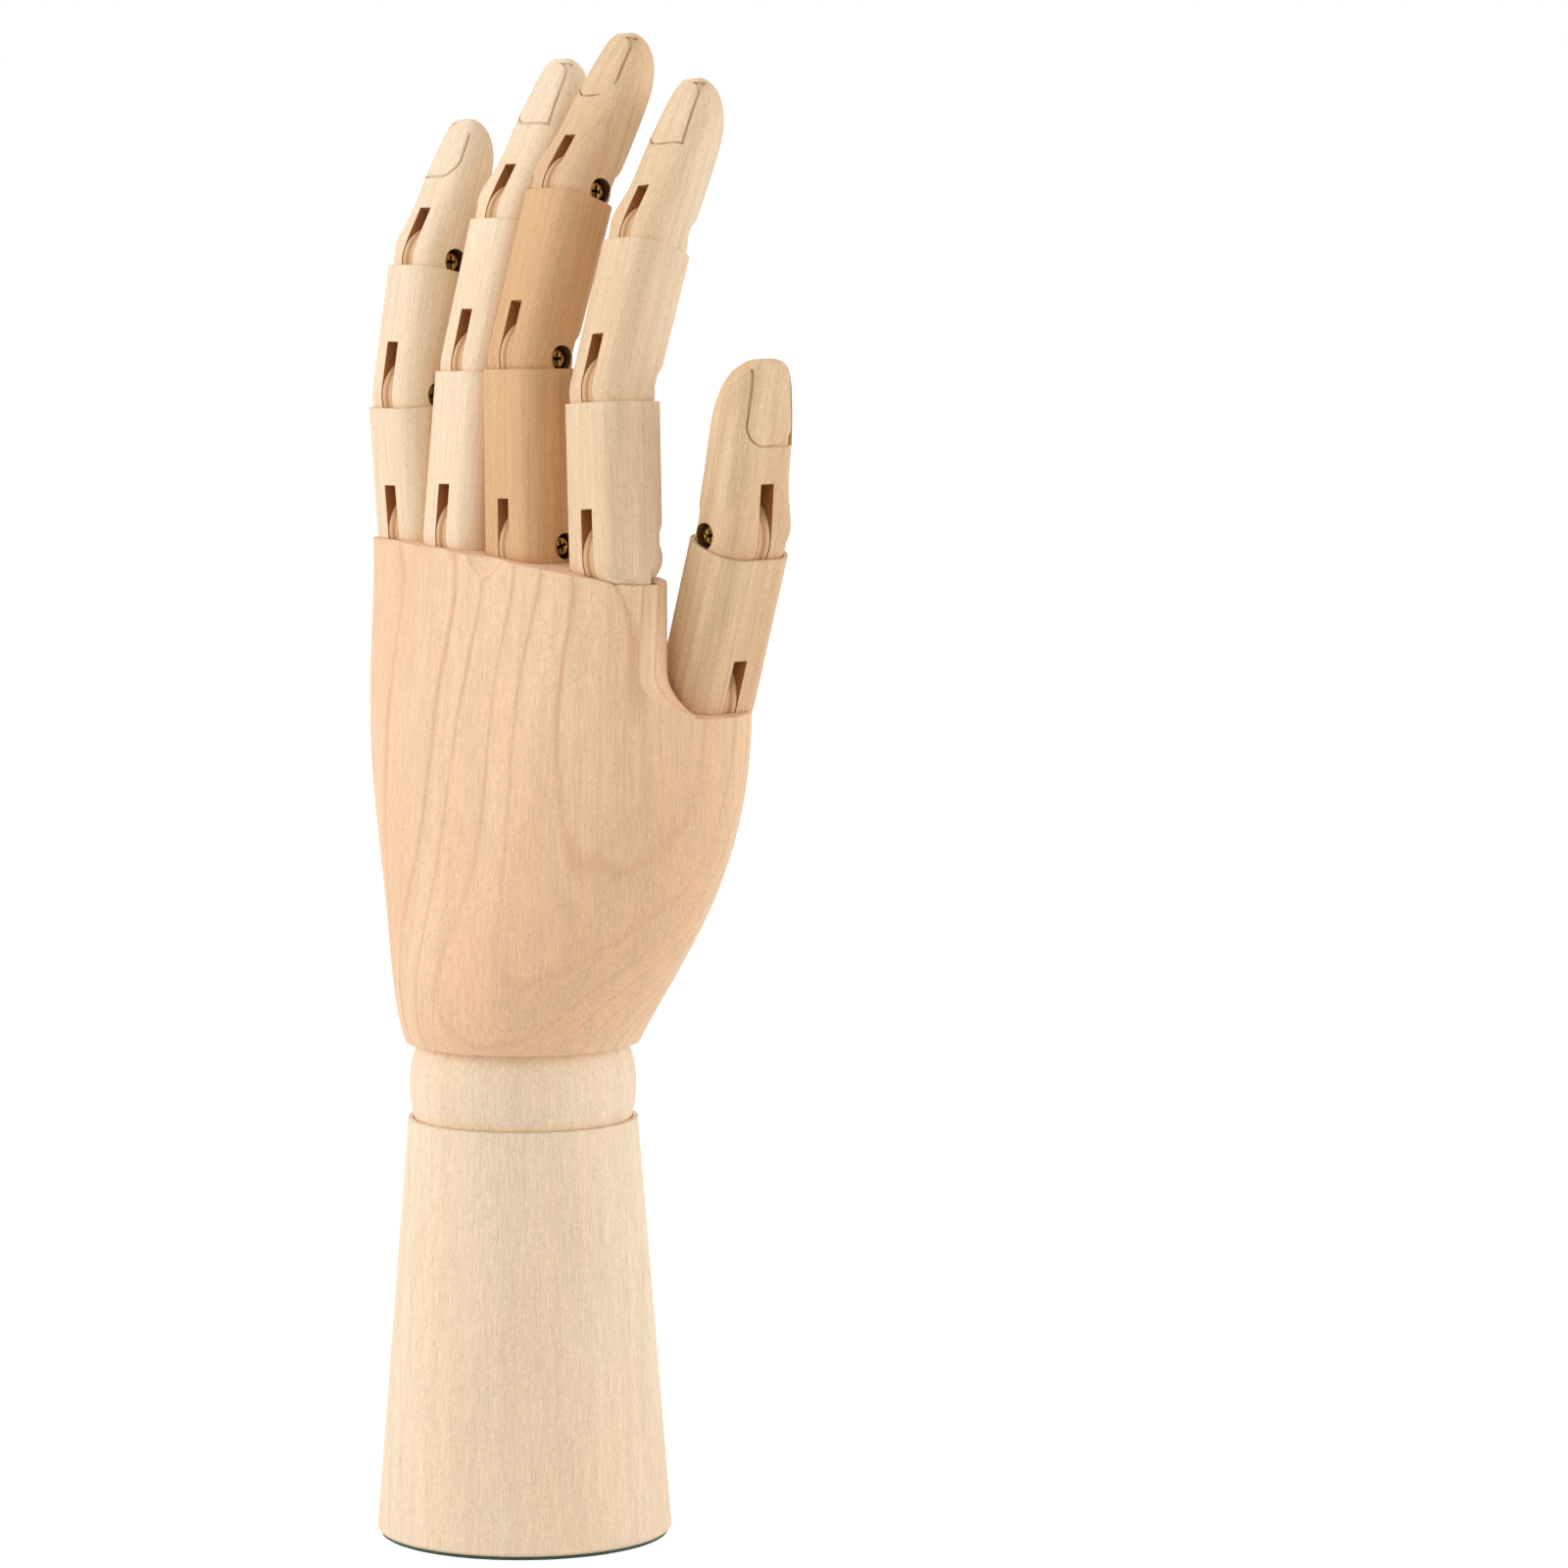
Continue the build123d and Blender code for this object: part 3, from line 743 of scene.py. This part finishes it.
@dataclass
class HingeScrew:
    """The pan-head screw that is the pin of every finger hinge, with its sizes in mm.

    Attributes:
        head_radius: Radius of the head.
        head_height: Height of the head.
        shank_radius: Radius of the shank.
        sink: How far the head's top lies inside the piece's side.
        end_wall: Wood left beyond the shank's end.
        recess_reach: Half the width of the cross recess.
        recess_width: Width of each arm of the cross at its top.
        recess_depth: Depth of the cross recess.
        thread_pitch: Distance between threads.
        recess_turn: How far the cross is turned, in degrees.
        brass: The finish.
    """

    head_radius: float = 2.35
    head_height: float = 1.6
    shank_radius: float = 1.25
    sink: float = 1.3
    end_wall: float = 2.5
    recess_reach: float = 1.45
    recess_width: float = 0.62
    recess_depth: float = 0.95
    thread_pitch: float = 0.8
    recess_turn: float = 20.0
    brass: AgedBrass = field(default_factory=AgedBrass)
    _meshes: dict[float, bpy.types.Mesh] = field(default_factory=dict)
    _finish: bpy.types.Material | None = None

    # The thread's root and the point as shares of the radius, and stretches of the length
    root_share = 0.8
    point_share = 0.7
    threaded_share = 0.6
    plain_share = 0.3
    point_length = 0.3

    # The head's upright wall as a share of its height, and its dome as one of its radius
    wall_share = 0.45
    dome_share = 0.45
    dome_steps = 8

    # The recess at its foot as shares of its top, and how far its cutter stands out
    recess_foot_reach_share = 0.45
    recess_foot_width_share = 0.6
    cut_overrun = 0.2
    round_steps = 40

    def _profile(self, length: float) -> list[tuple[float, float]]:
        """Draws half of the screw from its end to the middle of its head.

        Args:
            length: Length of the shank in mm.

        Returns:
            Points as (radius, height) in metres, the head's seat at height zero.
        """
        root = self.shank_radius * self.root_share
        points = [(0.0, -length), (root * self.point_share, -length)]
        rounds = int(length * self.threaded_share / self.thread_pitch)
        for turn in range(rounds):
            foot = -length + self.point_length + turn * self.thread_pitch
            points += [(root, foot), (self.shank_radius, foot + self.thread_pitch / 2)]
        points += [(self.shank_radius, -length * self.plain_share), (self.shank_radius, 0.0),
                   (self.head_radius, 0.0)]
        wall = self.head_height * self.wall_share
        dome = self.head_height - wall
        for step in range(self.dome_steps + 1):
            turn = math.pi / 2 * step / self.dome_steps
            inset = (1 - math.cos(turn)) * self.head_radius * self.dome_share
            points.append((self.head_radius - inset, wall + dome * math.sin(turn)))
        points.append((0.0, self.head_height))
        return [(radius * MM, height * MM) for radius, height in points]

    def _arm(self, turn: float) -> bpy.types.Object:
        """Makes the cutter for one arm of the cross recess.

        Args:
            turn: The arm's angle in degrees.

        Returns:
            The cutter as an object outside the scene's pieces.
        """
        form = bmesh.new()
        top, foot = self.head_height + self.cut_overrun, self.head_height - self.recess_depth
        foot_reach = self.recess_reach * self.recess_foot_reach_share
        foot_width = self.recess_width * self.recess_foot_width_share
        rows = []
        for height, reach, width in ((top, self.recess_reach, self.recess_width),
                                     (foot, foot_reach, foot_width)):
            corners = ((-reach, -width / 2), (reach, -width / 2), (reach, width / 2),
                       (-reach, width / 2))
            rows.append([form.verts.new((x * MM, y * MM, height * MM)) for x, y in corners])
        form.faces.new(rows[0])
        form.faces.new(reversed(rows[1]))
        for step in range(4):
            following = (step + 1) % 4
            form.faces.new((rows[1][step], rows[1][following], rows[0][following], rows[0][step]))
        bmesh.ops.rotate(form, verts=form.verts, cent=(0, 0, 0),
                         matrix=Matrix.Rotation(math.radians(turn), 3, "Z"))
        bmesh.ops.recalc_face_normals(form, faces=form.faces)
        blade = mesh_of(form, "recess_cutter", sharp_degrees=30)
        arm = bpy.data.objects.new("recess_cutter", blade)
        bpy.context.scene.collection.objects.link(arm)
        return arm

    def mesh(self, length: float) -> bpy.types.Mesh:
        """Makes the screw about its seat, its head up, or gives the one made before.

        Args:
            length: Length of the shank in mm.

        Returns:
            The mesh.
        """
        key = round(length, 2)
        if key in self._meshes:
            return self._meshes[key]
        form = turned(self._profile(length), self.round_steps)
        plain = mesh_of(form, "screw_blank", sharp_degrees=35)
        blank = bpy.data.objects.new("screw_blank", plain)
        bpy.context.scene.collection.objects.link(blank)
        arms = [self._arm(self.recess_turn), self._arm(self.recess_turn + 90)]
        for arm in arms:
            cut = blank.modifiers.new("recess", "BOOLEAN")
            cut.operation, cut.object, cut.solver = "DIFFERENCE", arm, "EXACT"
        graph = bpy.context.evaluated_depsgraph_get()
        made = bpy.data.meshes.new_from_object(blank.evaluated_get(graph))
        made.name = f"hinge_screw_{len(self._meshes)}"
        for scrap in [*arms, blank]:
            bpy.data.objects.remove(scrap)
        if self._finish is None:
            self._finish = self.brass.material(self.head_height)
        made.materials.clear()
        made.materials.append(self._finish)
        self._meshes[key] = made
        return made

    def place(self, name: str, hinge: Vector, outward: Vector, up: Vector, half_width: float,
              body: str) -> bpy.types.Object:
        """Sets a screw in a hinge in place of the plain one.

        Args:
            name: The plain screw's name.
            hinge: The middle of the hinge, in metres.
            outward: The way that the head faces.
            up: The way along the finger.
            half_width: Half the width of the finger piece at the hinge, in mm.
            body: The body that the screw moves with.

        Returns:
            The screw.
        """
        seat = half_width - self.sink - self.head_height
        length = seat + half_width - self.end_wall
        outward = outward.normalized()
        side = up.cross(outward).normalized()
        turn = Matrix((side, outward.cross(side), outward)).transposed().to_4x4()
        place = Matrix.Translation(hinge + outward * seat * MM) @ turn
        return piece_from(self.mesh(length), f"{name}_detailed", place, body, (name,))


@dataclass
class Digit:
    """One finger or the thumb: its wooden segments, plywood tongues and screws.

    Attributes:
        name: The digit's name.
        half_widths: Half the width at each hinge, in mm.
        tip_bend: How far the last hinge is bent at rest, in degrees.
        sides: The side of each screw's head.
        woods: The wood of each segment.
        piths: Where the tree's middle lies off each segment, in mm.
        slot_reaches: How far each slot reaches past its hinge pin, in mm.
    """

    name: str
    half_widths: tuple[float, ...]
    tip_bend: float
    sides: tuple[Side, ...]
    woods: tuple[Basswood, ...]
    piths: tuple[tuple[float, float], ...]
    slot_reaches: tuple[float, ...] = (9.66, 9.66, 9.66)

    # The grain's lean in degrees: the first segment's, what each next one adds, and in depth
    first_lean = -1.0
    added_lean = 1.2
    depth_lean = 1.5

    def hinges(self) -> list[dict[str, Any]]:
        """Gives the digit's joints from the palm to the tip."""
        return [joint for joint in frame["joints"] if joint["name"].startswith(self.name + "_")]

    def build(self, screw: HingeScrew) -> None:
        """Dresses the segments and tongues and sets the screws.

        Args:
            screw: The screw that every hinge has.
        """
        joints = self.hinges()
        places = [Vector(joint["pos_m"]) for joint in joints]
        across = -Vector(joints[0]["axis"]).normalized()
        parts = ("base", "centre", "tip") if len(joints) == 3 else ("base", "tip")
        along = Vector((0.0, 0.0, 1.0))
        for step, (part, joint) in enumerate(zip(parts, joints)):
            origin = places[step]
            if step + 1 < len(joints):
                along = (places[step + 1] - origin).normalized()
            else:
                along = Matrix.Rotation(-math.radians(self.tip_bend), 3, across) @ along
            segment = f"{self.name}_{part}_segment"
            lean = (self.added_lean * step + self.first_lean, self.depth_lean)
            grain = Grain(origin, along, across, self.piths[step], lean=lean,
                          screw_side=self.sides[step], slot_reach=self.slot_reaches[step])
            dress(frame["nodes"][segment], self.woods[step].material(segment, grain))
            tongue = f"{joint['name']}_tongue"
            dress(frame["nodes"][tongue], SawnPly().material(tongue, origin, across))
            screw.place(f"{joint['name']}_screw", origin, across * self.sides[step].value, along,
                        self.half_widths[step], joint["child"])
            log.info("%s dressed", segment)


@dataclass
class Wrist:
    """Forearm, ball, palm and what holds them together, with their sizes in mm.

    Attributes:
        ball_height: Height of the ball's middle.
        coil_radius: Radius to the middle of the spring's wire.
        wire_radius: Radius of the spring's wire.
        coil_foot: Height where the coils begin.
        coil_top: Height where the coils end.
        hook_radius: Radius of each hook.
        felt_radius: Radius of the felt pad.
        felt_thickness: Thickness of the felt pad.
        points_a_turn: Points on each turn of the spring.
        steel: The finish of the spring and of its pins.
    """

    ball_height: float = 92.4
    coil_radius: float = 3.5
    wire_radius: float = 0.68
    coil_foot: float = 15.1
    coil_top: float = 128.3
    hook_radius: float = 3.3
    felt_radius: float = 29.35
    felt_thickness: float = 0.8
    points_a_turn: int = 20
    steel: DrawnSteel = field(default_factory=DrawnSteel)

    # The spring: the gap between turns as a share of the wire, and its hooks in degrees
    turn_gap_share = 0.02
    hook_steps = 18
    hook_sweep = 270.0

    # The felt: its rounded edge, the rings of its underside, and where and how it frays
    felt_edge = 0.25
    felt_edge_steps = 4
    felt_ring_shares = (0.3, 0.6, 0.85)
    felt_rim_share = 0.95
    felt_steps = 160
    fray_size = 1.5
    fray_depth = 0.12

    def _coil(self, low: float, high: float, hook_at: float) -> bpy.types.Mesh:
        """Winds one half of the spring.

        Args:
            low: Height of its lower end in mm.
            high: Height of its upper end in mm.
            hook_at: Height of its hook's middle in mm, beyond one of its ends.

        Returns:
            The mesh of the wire.
        """
        pitch = 2 * self.wire_radius * (1 + self.turn_gap_share)
        count = int((high - low) / pitch * self.points_a_turn)
        points = []
        for step in range(count + 1):
            turn = 2 * math.pi * step / self.points_a_turn
            height = low + (high - low) * step / count
            points.append((self.coil_radius * math.cos(turn), self.coil_radius * math.sin(turn),
                           height))
        hook = []
        below = hook_at < low
        for step in range(self.hook_steps + 1):
            turn = math.radians(self.hook_sweep * step / self.hook_steps)
            swing = self.hook_radius * math.cos(turn)
            rise = self.hook_radius * math.sin(turn)
            hook.append((rise, 0.0, hook_at + (swing if below else -swing)))
        points = list(reversed(hook)) + points if below else points + hook
        curve = bpy.data.curves.new("spring_wire", "CURVE")
        curve.dimensions, curve.bevel_depth = "3D", self.wire_radius * MM
        curve.bevel_resolution, curve.use_fill_caps = 2, True
        spline = curve.splines.new("POLY")
        spline.points.add(len(points) - 1)
        for target, place in zip(spline.points, points):
            target.co = (*(value * MM for value in place), 1.0)
        wire = bpy.data.objects.new("spring_wire", curve)
        bpy.context.scene.collection.objects.link(wire)
        graph = bpy.context.evaluated_depsgraph_get()
        mesh = bpy.data.meshes.new_from_object(wire.evaluated_get(graph))
        bpy.data.objects.remove(wire)
        mesh.shade_smooth()
        return mesh

    def spring(self) -> None:
        """Winds the wrist spring in two halves that meet in the middle of the ball."""
        finish = self.steel.material()
        for name, body, low, high, hook_at in (
                ("wrist_spring_lower", "stand", self.coil_foot, self.ball_height,
                 self.coil_foot - self.hook_radius + self.wire_radius),
                ("wrist_spring_upper", "hand", self.ball_height, self.coil_top,
                 self.coil_top + self.hook_radius - self.wire_radius)):
            coil = piece_from(self._coil(low, high, hook_at), name, Matrix.Identity(4), body,
                              ("wrist_spring",))
            dress(coil, finish)
        for pin in ("forearm_spring_pin", "palm_spring_pin"):
            dress(frame["nodes"][pin], finish)

    def felt(self) -> None:
        """Cuts the felt pad, with an edge that isn't quite even."""
        edge = self.felt_edge
        radius, top = self.felt_radius, self.felt_thickness
        profile = [(0.0, 0.0)]
        profile += [(radius * share, 0.0) for share in self.felt_ring_shares]
        for middle, start in ((edge, -math.pi / 2), (top - edge, 0.0)):
            for step in range(self.felt_edge_steps + 1):
                turn = start + math.pi / 2 * step / self.felt_edge_steps
                profile.append((radius - edge + edge * math.cos(turn),
                                middle + edge * math.sin(turn)))
        profile.append((0.0, top))
        form = turned([(x * MM, z * MM) for x, z in profile], self.felt_steps)
        for vertex in form.verts:
            outward = Vector((vertex.co.x, vertex.co.y, 0.0))
            if outward.length > radius * self.felt_rim_share * MM:
                fray = noise.noise(vertex.co / (self.fray_size * MM)) * self.fray_depth * MM
                vertex.co += outward.normalized() * fray
        disc = mesh_of(form, "felt_disc", sharp_degrees=50)
        pad = piece_from(disc, "felt_disc", Matrix.Identity(4), "stand", ("felt_pad",))
        dress(pad, PressedFelt().material())

    def wood(self) -> None:
        """Dresses the forearm, the ball and the palm."""
        across, up = Vector((1.0, 0.0, 0.0)), Vector((0.0, 0.0, 1.0))
        foot, ball = Vector((0.0, 0.0, 0.0)), Vector((0.0, 0.0, self.ball_height * MM))
        blocks = (
            ("forearm", PALE, Grain(foot, up, across, pith=(55.0, 40.0), lean=(0.6, -0.8))),
            ("wrist_ball", PALE, Grain(ball, up, across, pith=(-38.0, 22.0), lean=(2.0, 1.0))),
            ("palm", ROSY, Grain(ball, up, across, pith=(-22.0, 38.0), lean=(-5.0, 0.6),
                                 sawing=Sawing.FLAT)),
        )
        for name, wood, grain in blocks:
            dress(frame["nodes"][name], wood.material(name, grain))
            log.info("%s dressed", name)

    def build(self) -> None:
        """Dresses the wooden blocks and makes the spring and the felt."""
        self.wood()
        self.spring()
        self.felt()


@dataclass
class Studio:
    """A white floor, soft light from both sides and the camera.

    Attributes:
        eye: The camera's place in metres.
        heading: The camera's level direction.
        dip: How far the camera looks down, in degrees.
        lens: The camera's focal length in mm on a sensor of sensor_width.
        daylight: The strength of the even light from all round.
        lamps: Each lamp's name, its place and side in metres, and its power in watts.
    """

    eye: tuple[float, float, float] = (1.1373, -0.9210, 0.3187)
    heading: tuple[float, float] = (-0.7538, 0.6571)
    dip: float = 6.44
    lens: float = 166.93
    daylight: float = 0.64
    lamps: tuple[tuple[str, tuple[float, float, float], float, float], ...] = (
        ("key_lamp", (-0.67, -1.14, 0.6), 0.9, 8.5),
        ("fill_lamp", (1.08, 0.78, 0.5), 0.9, 6.0),
        ("top_lamp", (0.1, -0.1, 1.5), 0.8, 1.6),
    )

    # The camera's sensor in mm and its clipping distances in metres
    sensor_width = 36.0
    clip_start = 0.05
    clip_end = 60.0

    # Where the lamps point, and the floor with the glow that only the eye sees
    lamp_target = (0.0, 0.0, 0.16)
    floor_size = 30.0
    floor_grey = 0.8
    floor_glow = 0.8

    def camera(self) -> None:
        """Sets the camera at the photograph's viewing angle."""
        data = bpy.data.cameras.new("camera")
        data.lens, data.sensor_width = self.lens, self.sensor_width
        data.clip_start, data.clip_end = self.clip_start, self.clip_end
        eye = bpy.data.objects.new("camera", data)
        bpy.context.scene.collection.objects.link(eye)
        dip = math.radians(self.dip)
        ahead = Vector((self.heading[0] * math.cos(dip), self.heading[1] * math.cos(dip),
                        -math.sin(dip)))
        eye.location = self.eye
        eye.rotation_euler = ahead.to_track_quat("-Z", "Y").to_euler()
        bpy.context.scene.camera = eye

    def lamp(self, name: str, place: tuple[float, float, float], size: float,
             power: float) -> None:
        """Hangs a square soft lamp that faces the hand.

        Args:
            name: The lamp's name.
            place: Its place in metres.
            size: The length of its side in metres.
            power: Its power in watts.
        """
        data = bpy.data.lights.new(name, "AREA")
        data.shape, data.size, data.energy = "SQUARE", size, power
        lamp = bpy.data.objects.new(name, data)
        bpy.context.scene.collection.objects.link(lamp)
        lamp.location = place
        aim = Vector(self.lamp_target) - Vector(place)
        lamp.rotation_euler = aim.to_track_quat("-Z", "Y").to_euler()

    def background(self) -> None:
        """Makes the room white to the eye and in reflections, and a plain soft light besides."""
        world = bpy.data.worlds.new("room")
        bpy.context.scene.world = world
        world.use_nodes = True
        tree = world.node_tree
        tree.nodes.clear()
        strength = self._seen(tree, self.daylight, 1.0)
        shade = add(tree, "ShaderNodeBackground", {"Color": WHITE, "Strength": strength})
        add(tree, "ShaderNodeOutputWorld", {"Surface": shade.outputs[0]})

    def _seen(self, tree: bpy.types.NodeTree, unseen: float,
              seen: float) -> bpy.types.NodeSocket:
        """Gives one value to the camera, mirrors and glass and another to the rest.

        Args:
            tree: The tree that gets the nodes.
            unseen: The value for light that falls on things.
            seen: The value for what is looked at.

        Returns:
            The value.
        """
        path = add(tree, "ShaderNodeLightPath")
        first = reckoned(tree, "MAXIMUM", path.outputs["Is Camera Ray"],
                         path.outputs["Is Glossy Ray"])
        either = reckoned(tree, "MAXIMUM", first, path.outputs["Is Transmission Ray"])
        return ranged(tree, either, 0.0, 1.0, unseen, seen)

    def floor(self) -> None:
        """Lays the white floor, which keeps the hand's soft shadow."""
        form = bmesh.new()
        bmesh.ops.create_grid(form, x_segments=1, y_segments=1, size=self.floor_size / 2)
        mesh = bpy.data.meshes.new("floor")
        form.to_mesh(mesh)
        form.free()
        floor = bpy.data.objects.new("floor", mesh)
        bpy.context.scene.collection.objects.link(floor)
        material, tree = new_tree("white_floor")
        grey = self.floor_grey
        matt = add(tree, "ShaderNodeBsdfDiffuse", {"Color": (grey, grey, grey, 1.0)})
        lit = self._seen(tree, 0.0, self.floor_glow)
        glow = add(tree, "ShaderNodeEmission", {"Color": WHITE, "Strength": lit})
        both = add(tree, "ShaderNodeAddShader", {0: matt.outputs[0], 1: glow.outputs[0]})
        add(tree, "ShaderNodeOutputMaterial", {"Surface": both.outputs[0]})
        floor.data.materials.append(material)

    def build(self) -> None:
        """Makes the studio."""
        self.camera()
        self.background()
        self.floor()
        for lamp in self.lamps:
            self.lamp(*lamp)
        bpy.context.scene.view_settings.view_transform = "Standard"


def main() -> None:
    """Builds the hand and its studio."""
    logging.basicConfig(level=logging.INFO, format="%(name)s: %(message)s")
    Studio().build()
    Wrist().build()
    plus, minus = Side.PLUS, Side.MINUS
    screw = HingeScrew()
    # Name, half widths, tip bend, screw sides, woods, tree middles and slot reaches
    digits = (
        Digit("index", (8.75, 8.1, 7.6), 5.0, (minus, minus, minus), (HONEY, HONEY, HONEY),
              ((14.0, -30.0), (-22.0, 26.0), (18.0, 24.0))),
        Digit("middle", (8.75, 8.1, 7.6), 9.0, (plus, plus, plus), (AMBER, AMBER, TAN),
              ((30.0, 12.0), (26.0, -18.0), (-24.0, 20.0))),
        Digit("ring", (8.4875, 7.857, 7.372), 7.5, (plus, plus, plus), (PALE, PALE, PALE),
              ((-34.0, 10.0), (20.0, 30.0), (28.0, -14.0))),
        Digit("little", (8.05, 7.452, 6.992), 10.0, (plus, plus, plus), (PALE, PALE, PALE),
              ((16.0, 28.0), (-28.0, -16.0), (24.0, 18.0))),
        Digit("thumb", (9.1, 8.424), 6.0, (plus, minus), (TAN, TAN),
              ((-26.0, 22.0), (24.0, -26.0)), (10.46, 12.26)),
    )
    for digit in digits:
        digit.build(screw)


if __name__ == "__main__":
    main()
